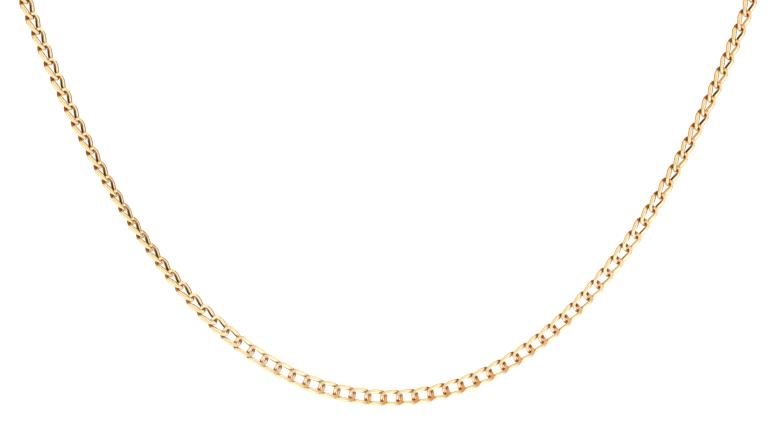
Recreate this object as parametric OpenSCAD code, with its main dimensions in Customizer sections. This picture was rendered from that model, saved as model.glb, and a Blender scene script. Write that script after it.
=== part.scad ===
/* [Necklace] */
// Length right round the loop, clasp included
necklace_length = 457; // [435:1:475]
// Drop of the hanging front, from its upper ends to the lowest link
front_drop = 74; // [66:1:80]
// Radius of the front's curve at the lowest link
front_radius = 38.5; // [36:0.5:42]
// Rise from the upper ends of the front to the nape
nape_rise = 34; // [26:1:42]
// How far the chain keeps going up before it turns back over the shoulder
shoulder_reach = 34; // [28:1:40]
// How far the chain keeps going across before it leaves the nape
nape_reach = 46; // [40:1:52]

/* [Links] */
// Width of a link across its flat face
link_w = 2.94; // [2.9:0.02:3.2]
// Wanted step from link to link, which is then adjusted to close the loop
link_step = 2.87; // [2.84:0.01:3.1]
// Width of a link's two long sides, seen on the flat face
side_w = 0.72; // [0.66:0.02:0.78]
// Thickness of the long sides
side_t = 0.84; // [0.76:0.02:0.88]
// Width of the wire where it turns round a link's ends
end_w = 0.62; // [0.58:0.01:0.66]
// Thickness of the wire at the ends
end_t = 0.62; // [0.58:0.01:0.66]
// Thickness of the chain over its two cut faces
face_t = 1; // [0.92:0.02:1.1]
// Twist of each end of a link out of its flat plane, in degrees
link_twist = 38; // [37:1:44]
// Clear space between a link's end and the next link's end
link_gap = 0.16; // [0.14:0.01:0.2]

/* [Clasp] */
// Thickness of the clasp's round bar
clasp_bar = 1.2; // [1:0.05:1.3]
// Inner diameter of the clasp
clasp_bore = 4.8; // [4.4:0.1:5.4]
// Thickness of the clasp's small fixed eye
eye_bar = 0.7; // [0.6:0.05:0.8]
// Inner diameter of the eye
eye_bore = 1.9; // [1.7:0.1:2.2]
// Diameter of the thumb knob on the clasp
knob_d = 1; // [0.8:0.1:1.1]
// Thickness of the two end rings
ring_bar = 0.54; // [0.46:0.02:0.6]
// Clear space where a ring passes through its neighbour
ring_gap = 0.18; // [0.15:0.01:0.22]

/* [Hidden] */
gold = [0.93, 0.74, 0.42];
$fn = 48;

// Sides of a link's ring and of its wire, and how square the ring is (1 is a plain oval)
ring_sides = 10;
wire_sides = 5;
ring_square = 0.58;

// Place of the lowest link, to the right of the lowest point, as a share of a step
bottom_shift = 0.15;

// How far the flat faces turn to the right along the front, in degrees.
// The first column is the place, as a share of the arc from the lowest point to an upper end.
FACE_TURN = [
  [-1.00, 51], [-0.80, 52], [-0.70, 57], [-0.60, 63], [-0.52, 66], [-0.46, 60],
  [-0.40, 51], [-0.34, 39], [-0.26, 10], [0.00, 0], [0.38, 5], [0.56, 19],
  [0.64, 37], [0.73, 39], [0.84, 37], [1.00, 34]
];

// Clasp stretch: middles of the rings and the clasp, measured along the loop
ring_r = (end_w + clasp_bar + 3 * ring_gap + ring_bar) / 2;
eye_r = (eye_bore + eye_bar) / 2;
clasp_r = (clasp_bore + clasp_bar) / 2;
eye_sink = 0.3 * eye_bar;
ring_to_eye = ring_r - ring_bar / 2 - ring_gap - eye_bar / 2 + eye_r;
eye_to_clasp = eye_r + eye_bar / 2 - eye_sink + clasp_bar / 2 + clasp_r;
clasp_to_ring = clasp_r - clasp_bar / 2 - ring_gap - ring_bar / 2 + ring_r;
function half_ring(step) = (step + end_w + link_gap) / 2;
function link_to_ring(step) = half_ring(step) - end_w / 2 - ring_gap - ring_bar / 2 + ring_r;
function clasp_stretch(step) = 2 * link_to_ring(step) + ring_to_eye + eye_to_clasp + clasp_to_ring;

// Number of links, an odd one, and the step that closes the loop exactly
side_links = round((necklace_length - clasp_stretch(link_step)) / link_step / 2);
step = (necklace_length - clasp_stretch(0)) / (2 * side_links + 1);

// Half the loop is the front's arc, the turn over the shoulder and a straight at the nape
half_loop = necklace_length / 2;
front_arc = sqrt(pow(front_drop + front_radius, 2) - pow(front_radius, 2));
straight = clasp_stretch(step) / 2 + step;
turn_arc = half_loop - front_arc - straight;

// Right half of the front: a hanging curve, by its arc from the lowest point
function front_at(s) = [
  front_radius * ln(s / front_radius + sqrt(pow(s / front_radius, 2) + 1)),
  0,
  sqrt(pow(front_radius, 2) + s * s) - front_radius
];

// Turn over the shoulder and round to the nape, a smooth curve from a to d in 64 steps
turn_steps = 64;
front_end = front_at(front_arc);
front_dir = [front_radius, 0, front_arc] / norm([front_radius, front_arc]);
nape_z = front_drop + nape_rise;
function bend(a, b, c, d, t) =
  pow(1 - t, 3) * a + 3 * pow(1 - t, 2) * t * b + 3 * (1 - t) * t * t * c + pow(t, 3) * d;
function turn_points(depth) = [
  for (i = [0 : turn_steps]) bend(
    front_end,
    front_end + shoulder_reach * front_dir,
    [straight + nape_reach, depth, nape_z],
    [straight, depth, nape_z],
    i / turn_steps)
];
function arc_sums(p) = [for (i = 0, s = 0; i < len(p); i = i + 1, s = s + (i < len(p) ? norm(p[i] - p[i - 1]) : 0)) s];

// Depth from the front to the nape that uses up the rest of the loop's length
function turn_length(depth) = arc_sums(turn_points(depth))[turn_steps];
function fit_depth(low, high, tries = 30) =
  tries == 0 ? (low + high) / 2
  : turn_length((low + high) / 2) < turn_arc ? fit_depth((low + high) / 2, high, tries - 1)
  : fit_depth(low, (low + high) / 2, tries - 1);
nape_depth = fit_depth(0, turn_arc);
turn_path = turn_points(nape_depth);
turn_sums = arc_sums(turn_path);
turn_table = [for (axis = [0 : 2]) [for (i = [0 : turn_steps]) [turn_sums[i], turn_path[i][axis]]]];
function turn_at(s) = [for (axis = [0 : 2]) lookup(s, turn_table[axis])];

// Point of the loop at an arc from the lowest point, right side positive, with the nape as origin
function right_at(s) =
  s <= front_arc ? front_at(s)
  : s <= front_arc + turn_arc ? turn_at(s - front_arc)
  : [half_loop - s, nape_depth, nape_z];
function loop_at(s) =
  let (p = right_at(abs(s))) [sign(s) * p[0], p[1] - nape_depth, p[2] - nape_z];

// Direction along the chain, and of the flat face, at a place on the loop
function unit(v) = v / norm(v);
function along(s) = unit(loop_at(s + step / 2) - loop_at(s - step / 2));
function front_face(s, run) =
  let (turn = sign(s) * lookup(s / front_arc, FACE_TURN), ahead = [0, -1, 0])
  cos(turn) * ahead + sin(turn) * cross(run, ahead);
function turn_face(s, run) =
  let (
    side = sign(s),
    face = front_face(side * front_arc, along(side * front_arc)),
    start = atan2(face[0], -face[1]),
    share = min(1, (abs(s) - front_arc) / turn_arc),
    plan = start + share * ((side > 0 ? 180 : 0) - start),
    out = [sin(plan), -cos(plan), 0]
  )
  unit(out - (out * run) * run);
function face(s) = abs(s) <= front_arc ? front_face(s, along(s)) : turn_face(s, along(s));

// One link: a squared oval ring of wire, its ends twisted, its two faces cut flat
function power(v, k) = sign(v) * pow(abs(v), k);
function spread(v) = [for (x = v) (2 * x - max(v) - min(v)) / (max(v) - min(v))];
wire_turn = [for (j = [0 : wire_sides - 1]) (j + 0.5) * 360 / wire_sides];
wire_out = spread([for (q = wire_turn) cos(q)]);
wire_up = spread([for (q = wire_turn) sin(q)]);
ring_turn = [for (i = [0 : ring_sides - 1]) i * 360 / ring_sides];
widest = max([for (t = ring_turn) power(sin(t), ring_square)]);
half_l = half_ring(step);
half_w = (link_w - side_w) / 2 / widest;
function ring_at(t) = [half_l * power(cos(t), ring_square), half_w * power(sin(t), ring_square)];
function link_point(t, j) =
  let (
    p = ring_at(t),
    d = unit(ring_at(t + 0.1) - ring_at(t - 0.1)),
    share = p[0] / half_l,
    wide = side_w + (end_w - side_w) * share * share,
    thick = side_t + (end_t - side_t) * share * share,
    x = p[0] + wire_out[j] * wide / 2 * d[1],
    s = p[1] - wire_out[j] * wide / 2 * d[0],
    h = wire_up[j] * thick / 2,
    twist = link_twist * share,
    z = h * cos(twist) - s * sin(twist)
  )
  [x, s * cos(twist) + h * sin(twist), max(-face_t / 2, min(face_t / 2, z))];
link_points = [for (t = ring_turn, j = [0 : wire_sides - 1]) link_point(t, j)];
function corner(i, j) = (i % ring_sides) * wire_sides + j % wire_sides;
link_faces = [
  for (i = [0 : ring_sides - 1], j = [0 : wire_sides - 1], half = [0, 1])
    half == 0
    ? [corner(i, j), corner(i + 1, j + 1), corner(i + 1, j)]
    : [corner(i, j), corner(i, j + 1), corner(i + 1, j + 1)]
];

module link() {
  polyhedron(points = link_points, faces = link_faces);
}

// Sets a link at its place on the loop: its length along the chain, its faces to the face direction
module set_link(n) {
  s = (n + bottom_shift) * step;
  p = loop_at(s);
  run = along(s);
  out = face(s);
  up = cross(out, run);
  multmatrix([
    [run[0], up[0], out[0], p[0]],
    [run[1], up[1], out[1], p[1]],
    [run[2], up[2], out[2], p[2]]
  ]) link();
}

module chain_left() {
  color(gold) for (n = [-side_links : -1]) set_link(n);
}

module chain_right() {
  color(gold) for (n = [0 : side_links]) set_link(n);
}

// Places along the nape's straight, measured to the left from the last right link
last_right = half_loop - (side_links + bottom_shift) * step;
right_ring_x = last_right - link_to_ring(step);
eye_x = right_ring_x - ring_to_eye;
clasp_x = eye_x - eye_to_clasp;
left_ring_x = clasp_x - clasp_to_ring;

module round_ring(radius, bar) {
  rotate_extrude() translate([radius, 0]) circle(d = bar);
}

module end_ring_right() {
  color(gold) translate([right_ring_x, 0, 0]) round_ring(ring_r, ring_bar);
}

module end_ring_left() {
  color(gold) translate([left_ring_x, 0, 0]) round_ring(ring_r, ring_bar);
}

// Plain round clasp, shown closed, with its eye and thumb knob in one piece
module clasp() {
  color(gold) {
    translate([clasp_x, 0, 0]) rotate([90, 0, 0]) round_ring(clasp_r, clasp_bar);
    translate([eye_x, 0, 0]) rotate([90, 0, 0]) round_ring(eye_r, eye_bar);
    translate([clasp_x, 0, clasp_r + clasp_bar / 2]) sphere(d = knob_d);
  }
}

chain_left();
chain_right();
end_ring_left();
end_ring_right();
clasp();
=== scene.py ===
# %% [markdown]
# # A curb chain necklace in gold
#
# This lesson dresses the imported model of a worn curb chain. The model already has every link at
# its place, but each one is a coarse ring. Here the links get a finer wire with flat cut faces,
# the clasp gets its real parts, the gold gets its polish, and a small studio gives it something
# bright and something dark to mirror.
#
# All lengths are metres, and the origin is where the chain rests on the nape of the neck.

# %% The fixed frame
import bpy
import math
import numpy as np
from mathutils import Matrix, Vector


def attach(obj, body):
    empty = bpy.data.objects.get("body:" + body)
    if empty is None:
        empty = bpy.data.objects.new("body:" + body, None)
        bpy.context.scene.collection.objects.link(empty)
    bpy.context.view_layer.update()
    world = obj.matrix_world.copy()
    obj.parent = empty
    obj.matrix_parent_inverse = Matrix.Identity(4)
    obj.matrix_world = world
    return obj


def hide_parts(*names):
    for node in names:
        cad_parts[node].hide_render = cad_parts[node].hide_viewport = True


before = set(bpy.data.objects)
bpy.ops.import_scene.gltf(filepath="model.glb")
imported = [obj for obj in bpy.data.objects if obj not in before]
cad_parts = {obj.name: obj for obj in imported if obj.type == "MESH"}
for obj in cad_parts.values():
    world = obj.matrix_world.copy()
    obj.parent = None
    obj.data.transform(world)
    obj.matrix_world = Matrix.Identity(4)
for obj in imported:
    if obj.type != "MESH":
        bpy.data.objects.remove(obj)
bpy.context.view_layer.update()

print("CAD nodes:", sorted(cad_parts))

# %% [markdown]
# ## The measures
#
# The scene can't ask the source for its sizes, so it repeats them. The loop is 457 mm long and
# made of 155 links that are 2.94 mm wide. Naming each measure once keeps the later steps readable,
# and the printed step tells at once if a value was copied wrongly.

# %% Measures of the loop and of a link
MM = 0.001
loop_length = 457 * MM
front_drop = 74 * MM
front_radius = 38.5 * MM
nape_rise = 34 * MM
shoulder_reach = 34 * MM
nape_reach = 46 * MM

link_width = 2.94 * MM
wanted_step = 2.87 * MM
end_width = 0.62 * MM
face_thickness = 1.0 * MM
end_twist = math.radians(38)
link_gap = 0.16 * MM

# %% [markdown]
# The clasp stretch is measured from ring to ring: each piece hangs in the next with a small clear
# space. The distances follow from the bars' thicknesses, so a thicker bar moves its neighbours
# along instead of running into them. Only the small eye sinks into the clasp, as it is soldered on.

# %% Measures of the clasp stretch
clasp_bar, clasp_bore = 1.2 * MM, 4.8 * MM
eye_bar, eye_bore = 0.7 * MM, 1.9 * MM
eye_sink = 0.3 * eye_bar
knob_size = 1.0 * MM
ring_bar, ring_gap = 0.54 * MM, 0.18 * MM

ring_radius = (end_width + clasp_bar + 3 * ring_gap + ring_bar) / 2
eye_radius = (eye_bore + eye_bar) / 2
clasp_radius = (clasp_bore + clasp_bar) / 2
ring_to_eye = ring_radius - ring_bar / 2 - ring_gap - eye_bar / 2 + eye_radius
eye_to_clasp = eye_radius + eye_bar / 2 - eye_sink + clasp_bar / 2 + clasp_radius
clasp_to_ring = clasp_radius - clasp_bar / 2 - ring_gap - ring_bar / 2 + ring_radius


def half_link(step):
    """From a link's middle to the middle of the wire at its end."""
    return (step + end_width + link_gap) / 2


def link_to_ring(step):
    """From the middle of the last link to the middle of the end ring."""
    return half_link(step) - end_width / 2 - ring_gap - ring_bar / 2 + ring_radius


def clasp_stretch(step):
    """From the middle of the last left link to the middle of the last right one."""
    return 2 * link_to_ring(step) + ring_to_eye + eye_to_clasp + clasp_to_ring


side_links = round((loop_length - clasp_stretch(wanted_step)) / wanted_step / 2)
step = (loop_length - clasp_stretch(0)) / (2 * side_links + 1)
print("links:", 2 * side_links + 1, "step in mm:", round(step / MM, 4))

# %% [markdown]
# ## The way the chain hangs
#
# A chain that hangs free between two points forms a catenary, so the front is that curve. From
# its two upper ends the chain leans back over the shoulders, and a smooth Bezier curve stands for
# that stretch. The clasp lies straight across the nape. How deep the neck is follows from the
# length of the chain. It is found by halving the search range again and again.

# %% The front and the turn over the shoulder
half_loop = loop_length / 2
front_arc = math.sqrt((front_drop + front_radius) ** 2 - front_radius ** 2)
straight = clasp_stretch(step) / 2 + step
turn_arc = half_loop - front_arc - straight
nape_height = front_drop + nape_rise
turn_steps, halvings = 64, 30


def front_at(arc):
    """Point of the hanging curve at an arc from its lowest point."""
    return np.array([front_radius * math.asinh(arc / front_radius), 0,
                     math.hypot(front_radius, arc) - front_radius])


def turn_points(depth):
    """Points of the Bezier curve from the front's upper end to the nape, for a given depth."""
    start = front_at(front_arc)
    end = np.array([straight, depth, nape_height])
    rise = np.array([front_radius, 0, front_arc]) / math.hypot(front_radius, front_arc)
    up = start + shoulder_reach * rise
    back = end + np.array([nape_reach, 0, 0])
    t = np.linspace(0, 1, turn_steps + 1)[:, None]
    return (1 - t) ** 3 * start + 3 * (1 - t) ** 2 * t * up + 3 * (1 - t) * t * t * back + t ** 3 * end


def arc_sums(points):
    """Length along the points, from the first one to each."""
    return np.concatenate([[0], np.cumsum(np.linalg.norm(np.diff(points, axis=0), axis=1))])


least_depth, most_depth = 0, turn_arc
for _ in range(halvings):
    nape_depth = (least_depth + most_depth) / 2
    if arc_sums(turn_points(nape_depth))[-1] < turn_arc:
        least_depth = nape_depth
    else:
        most_depth = nape_depth
turn_path = turn_points(nape_depth)
turn_sums = arc_sums(turn_path)
print("depth from the front to the nape in mm:", round(nape_depth / MM, 2))


def loop_at(arc):
    """Point of the loop at an arc from its lowest point, positive to the right."""
    a = abs(arc)
    if a <= front_arc:
        p = front_at(a)
    elif a <= front_arc + turn_arc:
        p = np.array([np.interp(a - front_arc, turn_sums, turn_path[:, i]) for i in range(3)])
    else:
        p = np.array([half_loop - a, nape_depth, nape_height])
    return np.array([math.copysign(p[0], arc), p[1] - nape_depth, p[2] - nape_height])


# %% [markdown]
# ## How each link is turned
#
# A curb chain lies flat only where nothing turns it. On the photographed necklace the lowest
# links face the viewer, and up both arms the flat faces roll to the right. A short list holds
# that roll along the front: a place, as a share of the arc from the lowest point to an upper end,
# and the roll there in degrees. Over the shoulders the faces swing round to the nape.

# %% The roll of the flat faces
bottom_shift = 0.15
FACE_TURN = [(-1.00, 51), (-0.80, 52), (-0.70, 57), (-0.60, 63), (-0.52, 66), (-0.46, 60),
             (-0.40, 51), (-0.34, 39), (-0.26, 10), (0.00, 0), (0.38, 5), (0.56, 19),
             (0.64, 37), (0.73, 39), (0.84, 37), (1.00, 34)]


def unit(v):
    """The same direction, one long."""
    return v / np.linalg.norm(v)


def along(arc):
    """Direction of the chain at a place on the loop."""
    return unit(loop_at(arc + step / 2) - loop_at(arc - step / 2))


def front_face(arc, run):
    """Direction that the flat face looks in, on the front."""
    roll = math.radians(np.interp(arc / front_arc, *zip(*FACE_TURN))) * math.copysign(1, arc)
    ahead = np.array([0.0, -1.0, 0.0])
    return math.cos(roll) * ahead + math.sin(roll) * np.cross(run, ahead)


def shoulder_face(arc, run):
    """The same over the shoulder: seen from above, it turns evenly until it looks backwards."""
    side = math.copysign(1, arc)
    face = front_face(side * front_arc, along(side * front_arc))
    start = math.atan2(face[0], -face[1])
    share = min(1, (abs(arc) - front_arc) / turn_arc)
    plan = start + share * ((math.pi if side > 0 else 0) - start)
    out = np.array([math.sin(plan), -math.cos(plan), 0])
    return unit(out - (out @ run) * run)


def link_place(n):
    """Matrix that sets link number n: its length along the chain, its flat face outwards."""
    arc = (n + bottom_shift) * step
    run = along(arc)
    out = front_face(arc, run) if abs(arc) <= front_arc else shoulder_face(arc, run)
    up = np.cross(out, run)
    turn = Matrix(np.column_stack([run, up, out]).tolist()).to_4x4()
    return Matrix.Translation(loop_at(arc)) @ turn


print("lowest link at mm:", [round(v / MM, 2) for v in link_place(0).translation])

# %% [markdown]
# ## The camera
#
# The camera comes early, because every later choice is judged through it. Its place was fitted to
# the centres of the photographed openings: it looks a little from the left and almost level, with
# a long lens, so the chain has hardly any perspective.

# %% Camera at the photograph's viewing angle
yaw, pitch, roll = math.radians(8.39), math.radians(-0.81), math.radians(0.66)
distance, lens_angle = 391.6 * MM, math.radians(20)
aim = Vector((-1.3 * MM, -nape_depth, 32.78 * MM - nape_height))
look = Vector((math.sin(yaw) * math.cos(pitch), math.cos(yaw) * math.cos(pitch), math.sin(pitch)))
right = look.cross(Vector((0, 0, 1))).normalized()
above = right.cross(look)
tilted_right = right * math.cos(roll) + above * math.sin(roll)
tilted_above = above * math.cos(roll) - right * math.sin(roll)

bpy.ops.object.camera_add()
camera = bpy.context.object
camera.name = "camera"
camera.data.angle = lens_angle
camera.data.clip_start = 10 * MM
axes = Matrix((tilted_right, tilted_above, -look)).transposed().to_4x4()
camera.matrix_world = Matrix.Translation(aim - distance * look) @ axes
bpy.context.scene.camera = camera
print("camera at mm:", [round(v / MM, 1) for v in camera.location])

# %% [markdown]
# ## One link
#
# A curb link is a ring of wire, pulled long and given a twist so that it lies over its neighbours.
# A file then takes the crown off both sides, which leaves the flat, bright faces that the chain is
# named for. The model is made in the same order. It has only 96 faces, since it is copied 155
# times and never fills more than twenty pixels. Each step picks what it changes by place, so two
# small helpers come first.

# %% Selecting by place
def start_afresh():
    """Object mode with nothing selected, as an operator acts on all that is selected."""
    if bpy.context.object and bpy.context.object.mode != "OBJECT":
        bpy.ops.object.mode_set(mode="OBJECT")
    bpy.ops.object.select_all(action="DESELECT")


def select_where(kind, test):
    """In edit mode, selects the vertices, edges or faces of the active mesh that pass a test."""
    bpy.ops.object.mode_set(mode="OBJECT")
    mesh = bpy.context.object.data
    for part in (mesh.vertices, mesh.edges, mesh.polygons):
        part.foreach_set("select", [False] * len(part))
    parts = {"VERT": mesh.vertices, "EDGE": mesh.edges, "FACE": mesh.polygons}[kind]
    chosen = [bool(test(p)) for p in parts]
    parts.foreach_set("select", chosen)
    modes = [kind == name for name in ("VERT", "EDGE", "FACE")]
    bpy.context.tool_settings.mesh_select_mode = modes
    bpy.ops.object.mode_set(mode="EDIT")
    return sum(chosen)


# %% [markdown]
# The wire begins as its own cross-section. Six corners are enough here: two rows above, two below,
# and one at each side. The upper and lower rows stand wide apart, which gives the file a broad
# flat to work on. The corner radius is the curve of the wire's middle line at a link's corners.
# A many-sided ring is a little narrower than a round one, and the facet allowance makes up for it.
# The links are a hair shorter than they could be, which keeps them apart in the tight turn at the
# shoulders.

# %% The wire's section: six corners, with a broad flat above and below
ring_sections = 12
corner_radius = 0.85 * MM
wire_width, end_wire_width = 0.73 * MM, 0.62 * MM
middle_thickness, end_thickness = 0.68 * MM, 0.62 * MM
flat_spread = 1.6
bulge, middle_swell, swell_from = 0.10 * MM, 1.22, 0.2 * MM
shoulder_room = 0.03 * MM
facet = corner_radius * (1 - math.cos(math.pi / ring_sections))
half_length = half_link(step) - shoulder_room + facet
half_width = (link_width - wire_width) / 2 - bulge + facet

start_afresh()
bpy.ops.mesh.primitive_circle_add(vertices=6, radius=wire_width / 2,
                                  rotation=(math.pi / 2, math.pi / 6, 0))
link = bpy.context.object
link.name = "link"
bpy.ops.object.transform_apply(location=True, rotation=True, scale=True)
select_where("VERT", lambda v: abs(v.co.z) > 0.1 * wire_width)
bpy.ops.transform.resize(value=(flat_spread, 1, 1), center_override=(0, 0, 0))
bpy.ops.mesh.select_all(action="SELECT")
bpy.ops.transform.translate(value=(corner_radius, 0, 0))
bpy.ops.object.mode_set(mode="OBJECT")
print("section in mm:", [[round(c / MM, 2) for c in v.co] for v in link.data.vertices])

# %% [markdown]
# Spinning the section once round gives the ring, and after a full turn the spin itself merges the
# last section with the first. Every point then notes where it sits in the wire: its row, from 1 on
# the inside of the ring to -1 on the outside, and its level, from 1 in front to -1 behind. The
# finish reads the row later to tell the inner walls from the crown, and the level tells which cut
# face a point belongs to.

# %% Spun to a ring
bpy.ops.object.mode_set(mode="EDIT")
bpy.ops.mesh.select_all(action="SELECT")
bpy.ops.mesh.spin(steps=ring_sections, angle=math.tau, center=(0, 0, 0), axis=(0, 0, 1))
bpy.ops.object.mode_set(mode="OBJECT")
link.rotation_euler.z = math.pi / ring_sections
bpy.ops.object.transform_apply(location=True, rotation=True, scale=True)


def carry(mesh, name, values):
    """Gives the points of a mesh a value each, under a name that the finish reads."""
    found = mesh.attributes.get(name) or mesh.attributes.new(name, "FLOAT", "POINT")
    found.data.foreach_set("value", values)


rows = [(corner_radius - v.co.xy.length) / (wire_width / 2) for v in link.data.vertices]
carry(link.data, "row", rows)
carry(link.data, "deep", [round(v.co.z / wire_width * 2) for v in link.data.vertices])
print("rows across the wire:", sorted({round(place, 2) for place in rows}))
print("faces:", len(link.data.polygons))

# %% [markdown]
# The long sides are the heaviest part of a curb link and its ends are the lightest, so that they
# fit through the neighbours. At each end one corner rises to the front and the other dives behind
# the next link. Each section is resized about its own middle, then lifted or sunk as a whole,
# which keeps its flats facing the viewer.

# %% Each section gets its thickness, and the ends turn out of the plane
wire_height = wire_width * math.sin(math.pi / 3)


def blend(middle, end, share):
    """Goes from the middle of a side (share 0) to the end of the link (share 1)."""
    return middle + (end - middle) * share ** 2


for section in range(ring_sections):
    angle = (section + 0.5) * math.tau / ring_sections
    share = math.copysign(1 - corner_radius * (1 - abs(math.cos(angle))) / half_length, math.cos(angle))
    across = corner_radius * math.sin(angle) + math.copysign(half_width - corner_radius, math.sin(angle))
    select_where("VERT", lambda v: abs(math.atan2(v.co.y, v.co.x) % math.tau - angle) < 0.01)
    wider = blend(1, end_wire_width / wire_width, share)
    thicker = blend(middle_thickness, end_thickness, share) / wire_height
    middle = (corner_radius * math.cos(angle), corner_radius * math.sin(angle), 0)
    bpy.ops.transform.resize(value=(wider, wider, thicker), center_override=middle)
    bpy.ops.transform.translate(value=(0, 0, -across * math.sin(end_twist * share)))
bpy.ops.object.mode_set(mode="OBJECT")
print("highest corner in mm:", round(max(v.co.z for v in link.data.vertices) / MM, 2))

# %% [markdown]
# Moving the four quarters apart turns the ring into a long link with straight bars. Each bar is
# cut twice. Its middle is pushed out, and widened from near its outer side so that it grows mostly
# inwards, because the sides of a real link swell gently.

# %% Pulled long: the quarters move apart
for axis, room in ((0, half_length - corner_radius), (1, half_width - corner_radius)):
    for side in (1, -1):
        select_where("VERT", lambda v: v.co[axis] * side > 0)
        move = [0, 0, 0]
        move[axis] = side * room
        bpy.ops.transform.translate(value=move)


def crosses_middle(edge):
    """Whether an edge runs along a bar, from one end's curve to the other's."""
    a, b = (link.data.vertices[i].co.x for i in edge.vertices)
    return a * b < 0 and abs(a - b) > half_length - corner_radius


half_bar = half_length - corner_radius * (1 - math.sin(math.pi / ring_sections))
bars = select_where("EDGE", crosses_middle)
bpy.ops.mesh.subdivide(number_cuts=2)
for side in (1, -1):
    select_where("VERT", lambda v: side * v.co.y > 0 and abs(v.co.x) < half_bar / 2)
    bpy.ops.transform.translate(value=(0, side * bulge, 0))
    outer_side = side * (half_width - facet + bulge + swell_from)
    bpy.ops.transform.resize(value=(1, middle_swell, 1), center_override=(0, outer_side, 0))
bpy.ops.object.mode_set(mode="OBJECT")
print("edges along the two bars:", bars, "faces:", len(link.data.polygons))
print("size before filing in mm:", [round(v / MM, 3) for v in link.dimensions])

# %% [markdown]
# The file. Everything that stands proud of the finished thickness is pressed flat onto the plane
# of the cut, first in front and then behind. Resizing by zero along one axis does this at once.

# %% Filed flat on both sides
for side in (1, -1):
    filed = select_where("VERT", lambda v: side * v.co.z > face_thickness / 2)
    bpy.ops.transform.resize(value=(1, 1, 0), center_override=(0, 0, side * face_thickness / 2))
    print("corners filed down:", filed)
bpy.ops.mesh.select_all(action="SELECT")
bpy.ops.mesh.normals_make_consistent(inside=False)
bpy.ops.object.mode_set(mode="OBJECT")
print("link size in mm:", [round(v / MM, 3) for v in link.dimensions], "faces:", len(link.data.polygons))

# %% [markdown]
# The corners that dive under the next link lie in the shade of its hook. Each point notes how far it
# lies below the cut on its own side, so that the finish can paint red-brown shade there.

# %% How deep each corner lies under the filed face on its own side
flat_height, side_height, full_depth = 0.35 * MM, 0.15 * MM, 0.4 * MM


def clamp(value):
    """The value, kept between 0 and 1."""
    return max(0, min(1, value))


# Painted shade: the deeper a point lies under the cut on its side, the more red-brown it gets.
depths = []
for vertex, own in zip(link.data.vertices, link.data.attributes["deep"].data):
    height = -vertex.co.z if own.value < -0.5 else vertex.co.z
    shade_below_height = flat_height if abs(own.value) > 0.5 else side_height
    depths.append(clamp((shade_below_height - height) / full_depth))
carry(link.data, "deep", depths)
print("deepest:", round(max(depths), 2), "on the flats:", round(min(depths), 2))

# %% [markdown]
# With so few faces the shading does much of the work. The wire is shaded smooth, and the outline
# of each cut is marked sharp, so the flats end in a crisp line as they do on the real chain.

# %% Smooth wire with crisp edges round the cut faces
link.data.shade_smooth()


def is_cut_face(face):
    """Whether a face lies in the plane of one of the two cuts."""
    return abs(face.normal.z) > 0.999 and abs(abs(face.center.z) - face_thickness / 2) < 1e-6


cut_faces = select_where("FACE", is_cut_face)
bpy.ops.mesh.region_to_loop()
bpy.ops.mesh.mark_sharp()
bpy.ops.object.mode_set(mode="OBJECT")
print("cut faces:", cut_faces)

# %% [markdown]
# ## Gold
#
# Polished gold has hardly any colour of its own: it tints what it mirrors. So the base colour is
# the tint, the roughness decides how sharp the mirror is, and very fine marks break it up. The
# finish is built from nodes, and a small class lets the sums between them be written as Python.

# %% Shader maths written as Python
class Signal:
    """One output of a shader node. Arithmetic on it adds Math nodes."""

    def __init__(self, tree, socket=None):
        self.tree, self.socket = tree, socket

    def node(self, kind, settings=None, inputs=None, output=0):
        """Adds any node: its settings first, then values or signals for its inputs."""
        made = self.tree.nodes.new(kind)
        for name, value in (settings or {}).items():
            setattr(made, name, value)
        for name, value in (inputs or {}).items():
            if isinstance(value, Signal):
                self.tree.links.new(value.socket, made.inputs[name])
            else:
                made.inputs[name].default_value = value
        return Signal(self.tree, made.outputs[output])

    def attribute(self, name):
        """A value that the points of the mesh carry."""
        return self.node("ShaderNodeAttribute", {"attribute_name": name}, output="Fac")

    def maths(self, operation, a, b=0.0):
        """Adds one Math node for two values or signals."""
        return self.node("ShaderNodeMath", {"operation": operation}, {0: a, 1: b})

    def __add__(self, other):
        return self.maths("ADD", self, other)

    def __rsub__(self, other):
        return self.maths("SUBTRACT", other, self)

    def __mul__(self, other):
        return self.maths("MULTIPLY", self, other)

    __radd__ = __add__

    def colour(self, low, high):
        """Mixes two colours by this value."""
        return self.node("ShaderNodeMix", {"data_type": "RGBA"}, {0: self, 6: low, 7: high}, output=2)

    def band(self, low, high):
        """0 below low, 1 above high, with a ramp between."""
        return self.node("ShaderNodeMapRange", None, {0: self, 1: low, 2: high})


# %% [markdown]
# Gold isn't one colour all over. Bright gold is pale where it is filed, and the deeper tint along the
# rim of the wire is painted shade, as a round wire darkens towards its edges. The orange on the hooks is
# painted shade. In the gaps between links, and on the corners that dive under a neighbour, painted shade
# turns it red-brown. The inner walls are painted nearly black, as painted shade. Each of these tints has
# a name here, the plainer one of a pair first.

# %% The tints of bright gold and of its painted shade
filed_tints = (0.98, 0.88, 0.65, 1), (0.93, 0.70, 0.28, 1)
wire_tints = (0.98, 0.87, 0.63, 1), (0.93, 0.69, 0.26, 1)
clasp_tints = (0.96, 0.72, 0.38, 1), (0.92, 0.66, 0.32, 1)
# Painted shade: orange on the hooks, red-brown in the gaps and on the hidden corners, near-black on the
# inner walls.
hook_shade_tint = (0.84, 0.38, 0.10, 1)
gap_shade_tint, hook_gap_shade_tint = (0.46, 0.12, 0.016, 1), (0.58, 0.29, 0.07, 1)
hidden_shade_tint, hook_hidden_shade_tint = (0.36, 0.085, 0.014, 1), (0.33, 0.12, 0.022, 1)
inner_shade_edge_tint, inner_shade_tint = (0.42, 0.18, 0.05, 1), (0.05, 0.016, 0.005, 1)
grazing_tint = (0.80, 0.60, 0.32, 1)
gap_reach, gap_shade_strength = 0.8 * MM, 0.85
cloud_scale = 700
print("bright gold, filed and drawn:", filed_tints[0][:3], wire_tints[0][:3])
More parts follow.
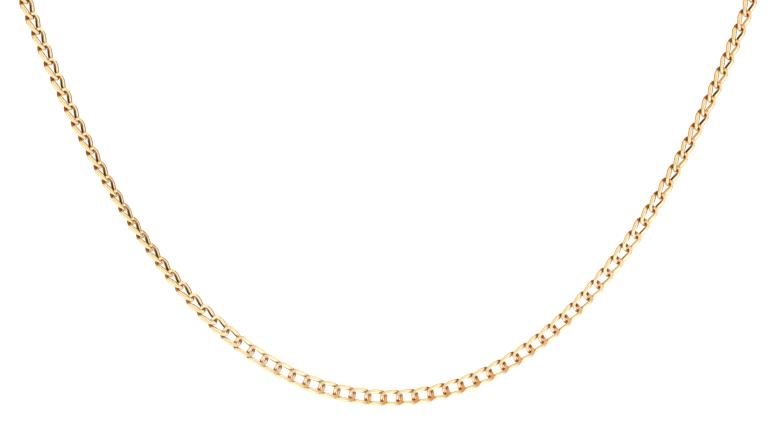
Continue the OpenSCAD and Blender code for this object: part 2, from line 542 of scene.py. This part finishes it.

# %% [markdown]
# One recipe serves all the gold. A cloud varies the tint, and stretched noise gives fine strokes in the
# bump and the roughness. Ambient occlusion finds the gaps, where surfaces nearly touch, and paints shade
# there. The painted shade in the gaps, on the hidden corners and on the inner walls is less of a metal
# than the rest, so that it stays dark and doesn't mirror the white room.

# %% A gold finish
def gold(name, tints, roughness, stroke_depth, stroke_stretch, inner_shaded=False):
    """Polished gold with fine strokes laid out on the piece's own map, and a faint cloud in its tint."""
    made = bpy.data.materials.new(name)
    made.use_nodes = True
    surface = made.node_tree.nodes["Principled BSDF"]
    start = Signal(made.node_tree)
    place = start.node("ShaderNodeTexCoord", output="Object")
    own = start.node("ShaderNodeTexCoord", output="UV")
    cloud = start.node("ShaderNodeTexNoise", None, {"Vector": place, "Scale": cloud_scale, "Detail": 3})
    stretched = start.node("ShaderNodeMapping", None, {"Vector": own, "Scale": stroke_stretch})
    strokes = start.node("ShaderNodeTexNoise", None,
                         {"Vector": stretched, "Scale": 1, "Detail": 4, "Roughness": 0.7})
    haze = cloud.band(0.35, 0.7)
    row = start.attribute("row")
    # Painted shade: the rim of the wire gets the deeper tint of the pair, as a round wire darkens
    # towards its edges.
    rim_shade = start.maths("ABSOLUTE", row).band(0.45, 0.85)
    # Painted shade: the hooks turn orange, by the amount that each point carries.
    warm = start.attribute("warm")
    tone = (haze * 0.3 + rim_shade * 0.5).colour(*tints)
    tone = warm.colour(tone, hook_shade_tint)
    rough = roughness + haze * 0.05 + strokes.band(0.45, 0.8) * 0.1
    # Painted shade: where ambient occlusion finds a narrow gap, the gold turns red-brown and less of a
    # metal.
    open_sky = start.node("ShaderNodeAmbientOcclusion", {"samples": 8}, {"Distance": gap_reach},
                          output="AO")
    gap = (1 - open_sky).band(0.25, 0.7)
    # Painted shade: the corners that dive under a neighbour turn red-brown and less of a metal.
    hidden_shade = start.attribute("deep").band(0.45, 0.75)
    tone = gap.colour(tone, warm.colour(gap_shade_tint, hook_gap_shade_tint))
    tone = hidden_shade.colour(tone, warm.colour(hidden_shade_tint, hook_hidden_shade_tint))
    metal = (1 - gap * gap_shade_strength) * (1 - hidden_shade)
    if inner_shaded:
        # Painted shade: the inner walls turn nearly black, with a brown edge, and lose their metal.
        inner_shade = row.band(0.83, 0.90) * start.attribute("shade")
        tone = inner_shade.band(0, 0.5).colour(tone, inner_shade_edge_tint)
        tone = inner_shade.band(0.4, 1).colour(tone, inner_shade_tint)
        metal = metal * (1 - inner_shade.band(0, 0.7))
    bump = start.node("ShaderNodeBump", None,
                      {"Strength": 0.5, "Distance": stroke_depth, "Height": strokes})
    links = made.node_tree.links
    links.new(tone.socket, surface.inputs["Base Color"])
    links.new(rough.socket, surface.inputs["Roughness"])
    links.new(bump.socket, surface.inputs["Normal"])
    links.new(metal.socket, surface.inputs["Metallic"])
    surface.inputs["Specular IOR Level"].default_value = 0
    surface.inputs["Specular Tint"].default_value = grazing_tint
    return made


cut_gold = gold("cut_gold", filed_tints, roughness=0.07,
                stroke_depth=0.004 * MM, stroke_stretch=(0.5, 14, 14))
wire_gold = gold("wire_gold", wire_tints, roughness=0.12,
                 stroke_depth=0.003 * MM, stroke_stretch=(3, 3, 3), inner_shaded=True)
round_gold = gold("round_gold", clasp_tints, roughness=0.10,
                  stroke_depth=0.003 * MM, stroke_stretch=(2, 20, 2))
print("finishes:", [finish.name for finish in (cut_gold, wire_gold, round_gold)])

# %% [markdown]
# The strokes follow the link because they are laid out on its own UV map, made while the link
# still lies flat. The wire's finish comes first, and the cut faces get the brighter one.

# %% The link's pattern map and its two finishes
start_afresh()
bpy.context.view_layer.objects.active = link
link.select_set(True)
link.data.materials.append(wire_gold)
link.data.materials.append(cut_gold)
bpy.ops.object.mode_set(mode="EDIT")
bpy.ops.mesh.select_all(action="SELECT")
bpy.ops.uv.cube_project(cube_size=1 * MM)
select_where("FACE", is_cut_face)
link.active_material_index = 1
bpy.ops.object.material_slot_assign()
bpy.ops.object.mode_set(mode="OBJECT")
print("faces with cut gold:", sum(face.material_index == 1 for face in link.data.polygons))

# %% [markdown]
# ## The chain
#
# The finished link is copied to each of its 155 places. Each copy has its own mesh, which is
# moved there for good, so the joined chain sits at the origin as the frame's own nodes do.
# The painted shade differs along the chain: the lowest links have orange hooks and little dark on their
# inner walls, and up the right arm every second link is brighter inside. The copies carry these amounts
# as attributes, so all of them share the same two finishes.
#
# Links are numbered from the lowest one, with the right arm positive.

# %% How much painted shade each link gets
def link_shade(n):
    """Painted shade on the inner walls of link n: little on the lowest, and on the right every second
    one is brighter.
    """
    brighter = 0.75 * (n % 2) * clamp(n / 20)
    return (1 - brighter) * clamp(0.15 + (n / 30 if n > 0 else -n / 10))


def link_hook_shade(n):
    """Orange painted shade on the hooks: none up the left arm, most on the lowest links, about half up
    the right arm.
    """
    return clamp(0.9 + n / 16) * (1 - 0.45 * clamp((n - 5) / 10))


def link_corner_shade(n, x):
    """Red-brown painted shade on the diving corners: most at a link's upper end, and least on the lowest
    links.
    """
    upper = x < 0 if n < -8 else x > 0
    return (1.4 if upper else 0.6) * clamp(0.6 + n / 25 if n > 0 else max(0.5, -n / 35))


# The lowest link's amounts of painted shade on its inner walls, hooks and diving corners.
print("film, warmth and dirt of the lowest link:",
      [round(worn, 2) for worn in (link_shade(0), link_hook_shade(0), link_corner_shade(0, 1))])

# %% [markdown]
# Within a link the painted shade on each inner wall thickens towards the end that dives. The orange
# painted shade starts where the hooks begin, and the link's right end has most of it. The red-brown
# painted shade stays on the corners of the hooks that dive. These shares are the same for all links, so
# they are worked out once, on the model.

# %% How the painted shade spreads over a link
hook_start, hook_length = 0.8, 0.4
lengthwise = [vertex.co.x / MM for vertex in link.data.vertices]
leans = [clamp(1.2 + 0.9 * x * math.copysign(1, vertex.co.y))
         for x, vertex in zip(lengthwise, link.data.vertices)]
hooks = [clamp((abs(x) - hook_start) / hook_length) * (1 if x > 0 else 0.2) for x in lengthwise]
dives = [deep.value if abs(x) > hook_start else 0
         for x, deep in zip(lengthwise, link.data.attributes["deep"].data)]
print("points on the hooks:", sum(hook > 0 for hook in hooks))
print("points that dive:", sum(dive > 0 for dive in dives))

# %% [markdown]
# Now the links are laid. Joining makes each half of the chain one piece, which stands in for the
# node of the same half.

# %% Laying the links
def lay_links(name, numbers, node):
    """Copies the link to its numbered places, and the joined copies take the place of a node."""
    start_afresh()
    for n in numbers:
        copy = link.copy()
        copy.data = link.data.copy()
        copy.data.transform(link_place(n))
        # Each copy carries its own amounts of painted shade: inner walls, hooks and diving corners.
        carry(copy.data, "shade", [link_shade(n) * lean for lean in leans])
        carry(copy.data, "warm", [link_hook_shade(n) * hook for hook in hooks])
        carry(copy.data, "deep", [clamp(dive * link_corner_shade(n, x)) for dive, x in zip(dives, lengthwise)])
        bpy.context.collection.objects.link(copy)
        copy.select_set(True)
    bpy.context.view_layer.objects.active = copy
    bpy.ops.object.join()
    chain = bpy.context.object
    chain.name = name
    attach(chain, "root")
    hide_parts(node)
    print(name, "links:", len(numbers), "faces:", len(chain.data.polygons))


lay_links("left_links", range(-side_links, 0), "chain_left")
lay_links("right_links", range(0, side_links + 1), "chain_right")
bpy.data.objects.remove(link)

# %% [markdown]
# ## The clasp and its rings
#
# The photograph ends below the nape, so the closing parts are the usual ones for such a chain: a
# bolt ring with a thumb knob, its small fixed eye, and an end ring on either side. A bolt ring is a
# round tube with a gap, and a thinner sprung bolt inside it closes the gap. It is modelled closed.

# %% Places along the nape
last_right = half_loop - (side_links + bottom_shift) * step
right_ring_x = last_right - link_to_ring(step)
eye_x = right_ring_x - ring_to_eye
clasp_x = eye_x - eye_to_clasp
left_ring_x = clasp_x - clasp_to_ring
print("ring, clasp, eye, ring at x in mm:",
      [round(x / MM, 2) for x in (left_ring_x, clasp_x, eye_x, right_ring_x)])

# %% [markdown]
# All four round pieces start from the same kind of ring, lying flat or standing upright. A second
# helper gives a finished piece its shading and its gold and ties it to the node that it replaces.

# %% A plain ring of round bar
def bar_ring(name, x, radius, bar, steps, sides, tilt):
    """A closed ring with its middle at x: flat with a tilt of zero, upright with a quarter turn."""
    start_afresh()
    bpy.ops.mesh.primitive_torus_add(
        location=(x, 0, 0), rotation=(tilt, 0, 0), major_segments=steps, minor_segments=sides,
        major_radius=radius, minor_radius=bar / 2)
    piece = bpy.context.object
    piece.name = name
    bpy.ops.object.transform_apply(location=True, rotation=True, scale=True)
    return piece


def finish_piece(piece, node):
    """Faces outwards, smooth shading and gold, and the piece takes the place of its node."""
    start_afresh()
    bpy.context.view_layer.objects.active = piece
    piece.select_set(True)
    bpy.ops.object.mode_set(mode="EDIT")
    bpy.ops.mesh.select_all(action="SELECT")
    bpy.ops.mesh.normals_make_consistent(inside=False)
    bpy.ops.object.mode_set(mode="OBJECT")
    bpy.ops.object.shade_smooth_by_angle(angle=math.radians(32))
    piece.data.materials.append(round_gold)
    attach(piece, "root")
    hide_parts(node)
    size = [round(v / MM, 2) for v in piece.dimensions]
    print(piece.name, "faces:", len(piece.data.polygons), "mm:", size)


# %% [markdown]
# An end ring is bent from wire and closed with a drop of solder, which leaves a faint bead. The
# seam sits at the side, clear of the links that pull on the ring.

# %% The end rings, each with the bead of its soldered seam
bead_height = 0.035 * MM
for name, x, seam in (("left_end_ring", left_ring_x, 117), ("right_end_ring", right_ring_x, 63)):
    ring = bar_ring(name, x, ring_radius, ring_bar, steps=40, sides=14, tilt=0)
    select_where("VERT", lambda v: abs(math.degrees(math.atan2(v.co.y, v.co.x - x)) - seam) < 1)
    bpy.ops.transform.shrink_fatten(value=bead_height)
    finish_piece(ring, "end_ring_left" if x < 0 else "end_ring_right")

# %% [markdown]
# The body of the bolt ring is a tube. Each end of the tube has a slight collar where the gap
# opens, drawn out of the ring's own faces before the gap is cut between them. Places round the
# ring are given as bearings, in degrees.

# %% The bolt ring's body, collars and gap
gap_start, gap_end, collar_span = 114, 156, 6
collar_height = 0.06 * MM


def bearing(point):
    """Degrees round the clasp's middle, from the side of the eye over the top."""
    return math.degrees(math.atan2(point.z, point.x - clasp_x)) % 360


clasp = bar_ring("bolt_ring", clasp_x, clasp_radius, clasp_bar, steps=60, sides=16, tilt=math.pi / 2)
for low, high in ((gap_start - collar_span, gap_start), (gap_end, gap_end + collar_span)):
    select_where("FACE", lambda f: low < bearing(f.center) < high)
    bpy.ops.mesh.extrude_region_shrink_fatten(TRANSFORM_OT_shrink_fatten={"value": collar_height})
cut = select_where("FACE", lambda f: gap_start + 1 < bearing(f.center) < gap_end - 1)
bpy.ops.mesh.delete(type="FACE")
print("faces cut out for the gap:", cut)

# %% [markdown]
# Both ends are closed with a face that is inset a little. From the upper one the bolt grows: its
# face is inset once more and spun round the ring's middle until it reaches the other end. On the
# real clasp a spring pushes the bolt this way.

# %% The ends and the bolt
cap_step, bolt_shoulder = 0.06 * MM, 0.16 * MM
bolt_clearance = 1.2


def cap_end(at):
    """Closes the tube's end at a bearing, and leaves the new face selected."""
    def on_rim(edge):
        points = [clasp.data.vertices[i].co for i in edge.vertices]
        from_axis = [math.hypot(math.hypot(p.x - clasp_x, p.z) - clasp_radius, p.y) for p in points]
        return max(from_axis) < 0.51 * clasp_bar and all(abs(bearing(p) - at) < 0.5 for p in points)
    found = select_where("EDGE", on_rim)
    bpy.ops.mesh.edge_face_add()
    bpy.ops.mesh.inset(thickness=cap_step, depth=cap_step / 2)
    return found


print("edges round the two ends:", cap_end(gap_end), cap_end(gap_start))
bpy.ops.mesh.inset(thickness=bolt_shoulder, depth=0)
reach = math.radians(gap_end - gap_start - bolt_clearance)
bpy.ops.mesh.spin(steps=8, angle=reach, center=(clasp_x, 0, 0), axis=(0, 1, 0))
bpy.ops.object.mode_set(mode="OBJECT")
print("bolt reaches:", round(max(bearing(v.co) for v in clasp.data.vertices if v.select), 1))

# %% [markdown]
# The knob travels in a slot along the outside of the tube. The crown faces there are inset and
# sunk in one step.

# %% The slot that the knob slides in
slot_start, slot_end = 60, 96
slot_border, slot_depth = 0.06 * MM, 0.14 * MM


def on_crown(face):
    """Whether a face lies on the tube's outermost strip, along the slot."""
    outwards = Vector((face.center.x - clasp_x, 0, face.center.z)).normalized()
    return slot_start < bearing(face.center) < slot_end and face.normal.dot(outwards) > 0.9


print("crown faces:", select_where("FACE", on_crown))
bpy.ops.mesh.inset(thickness=slot_border, depth=-slot_depth)
bpy.ops.object.mode_set(mode="OBJECT")

# %% [markdown]
# A thumb knob is a turned pin with a flat, slightly domed head. It grows upwards from a short
# cylinder by extruding and resizing its top face. Each step of the head has a rise in millimetres
# and a spread.

# %% The thumb knob: a post that widens to a domed head
knob_top = clasp_radius + clasp_bar / 2 + knob_size / 2
post_radius, post_height, post_middle = 0.15 * MM, 0.4 * MM, knob_top - 0.46 * MM
head_spread = 2.8
start_afresh()
bpy.ops.mesh.primitive_cylinder_add(vertices=20, radius=post_radius, depth=post_height,
                                    location=(clasp_x, 0, post_middle))
knob = bpy.context.object
bpy.ops.object.transform_apply(location=True, rotation=True, scale=True)
select_where("FACE", lambda f: f.normal.z > 0.9)
bpy.ops.mesh.extrude_region_move(TRANSFORM_OT_translate={"value": (0, 0, 0)})
bpy.ops.transform.resize(value=(head_spread, head_spread, 1), center_override=(clasp_x, 0, 0))
for rise, spread in ((0.04, 1.08), (0.10, 1), (0.05, 0.85), (0.04, 0.6)):
    bpy.ops.mesh.extrude_region_move(TRANSFORM_OT_translate={"value": (0, 0, rise * MM)})
    bpy.ops.transform.resize(value=(spread, spread, 1), center_override=(clasp_x, 0, 0))
bpy.ops.object.mode_set(mode="OBJECT")
print("knob in mm:", [round(v / MM, 2) for v in knob.dimensions])

# %% [markdown]
# The eye is soldered to the body, on the side away from the gap, and the next end ring hangs in
# it. The solder that fills the corner between the two rings starts as a ball, is drawn tall and
# then pinched above and below. All four parts of the clasp then become one piece.

# %% The fixed eye and its solder
eye = bar_ring("eye", eye_x, eye_radius, eye_bar, steps=36, sides=14, tilt=math.pi / 2)
start_afresh()
joint_x = (clasp_x + clasp_radius + clasp_bar / 2 + eye_x - eye_radius - eye_bar / 2) / 2
solder_radius, pinch_from = 0.44 * MM, 0.4 * MM
drawn_tall, pinched = (0.8, 1, 1.35), (0.7, 0.7, 1)
bpy.ops.mesh.primitive_uv_sphere_add(segments=16, ring_count=8, radius=solder_radius,
                                     location=(joint_x, 0, 0))
solder = bpy.context.object
bpy.ops.object.transform_apply(location=True, rotation=True, scale=True)
bpy.ops.object.mode_set(mode="EDIT")
bpy.ops.mesh.select_all(action="SELECT")
bpy.ops.transform.resize(value=drawn_tall, center_override=(joint_x, 0, 0))
select_where("VERT", lambda v: abs(v.co.z) > pinch_from)
bpy.ops.transform.resize(value=pinched, center_override=(joint_x, 0, 0))
start_afresh()
for part in (knob, eye, solder, clasp):
    part.select_set(True)
bpy.context.view_layer.objects.active = clasp
bpy.ops.object.join()
finish_piece(clasp, "clasp")

# %% [markdown]
# ## The studio
#
# A jewel is lit by what it mirrors. The room is plain white all round and the floor is pale, as
# in the photograph, which burns out almost to white behind the chain.

# %% White room and pale floor
scene = bpy.context.scene
scene.view_settings.view_transform = "Standard"
world = bpy.data.worlds.new("studio")
scene.world = world
world.use_nodes = True
backdrop = world.node_tree.nodes["Background"]
backdrop.inputs["Color"].default_value = (1, 1, 1, 1)
backdrop.inputs["Strength"].default_value = 1.1

start_afresh()
floor_size, floor_height, dome_radius = 3, -0.35, 1.5
bpy.ops.mesh.primitive_plane_add(size=floor_size, location=(0, 0, floor_height))
floor = bpy.context.object
floor.name = "floor"
paper = bpy.data.materials.new("white_paper")
paper.use_nodes = True
paper_surface = paper.node_tree.nodes["Principled BSDF"]
paper_surface.inputs["Base Color"].default_value = (0.9, 0.9, 0.9, 1)
paper_surface.inputs["Roughness"].default_value = 0.8
paper_surface.inputs["Emission Color"].default_value = (1, 1, 1, 1)
paper_surface.inputs["Emission Strength"].default_value = 0.25
floor.data.materials.append(paper)
print("floor below the nape in mm:", round(-floor.location.z / MM))

# %% [markdown]
# In an evenly white room gold looks flat. So a dome surrounds the set that only mirrored rays can
# see. It is cream straight in front, white beside that, warm white at the sides and brown behind,
# where the chain's round edges pick it up. A small pale patch stays straight behind.

# %% A dome that only the gold sees
start_afresh()
bpy.ops.mesh.primitive_uv_sphere_add(segments=32, ring_count=16, radius=dome_radius)
dome = bpy.context.object
dome.name = "studio_dome"
silk = bpy.data.materials.new("studio_silk")
silk.use_nodes = True
silk_surface = silk.node_tree.nodes["Principled BSDF"]
start = Signal(silk.node_tree)
place = start.node("ShaderNodeTexCoord", output="Object")
heading = start.node("ShaderNodeVectorMath", {"operation": "NORMALIZE"}, {0: place})
depth = start.node("ShaderNodeSeparateXYZ", None, {0: heading}, output=1)
cream, white, pale = (0.85, 0.81, 0.72, 1), (1.12, 1.10, 1.06, 1), (1.0, 0.98, 0.94, 1)
warm_white, brown = (1.02, 0.92, 0.74, 1), (0.50, 0.28, 0.09, 1)
tone = depth.band(-0.95, -0.5).colour(cream, white)
tone = depth.band(-0.1, 0.25).colour(tone, warm_white)
tone = depth.band(0.35, 0.7).colour(tone, brown)
tone = depth.band(0.90, 0.97).colour(tone, pale)
silk.node_tree.links.new(tone.socket, silk_surface.inputs["Emission Color"])
silk_surface.inputs["Emission Strength"].default_value = 1
silk_surface.inputs["Base Color"].default_value = (0, 0, 0, 1)
silk_surface.inputs["Specular IOR Level"].default_value = 0
dome.data.materials.append(silk)
dome.visible_camera = dome.visible_diffuse = dome.visible_shadow = False
print("dome radius in m:", round(dome.dimensions.x / 2, 2))
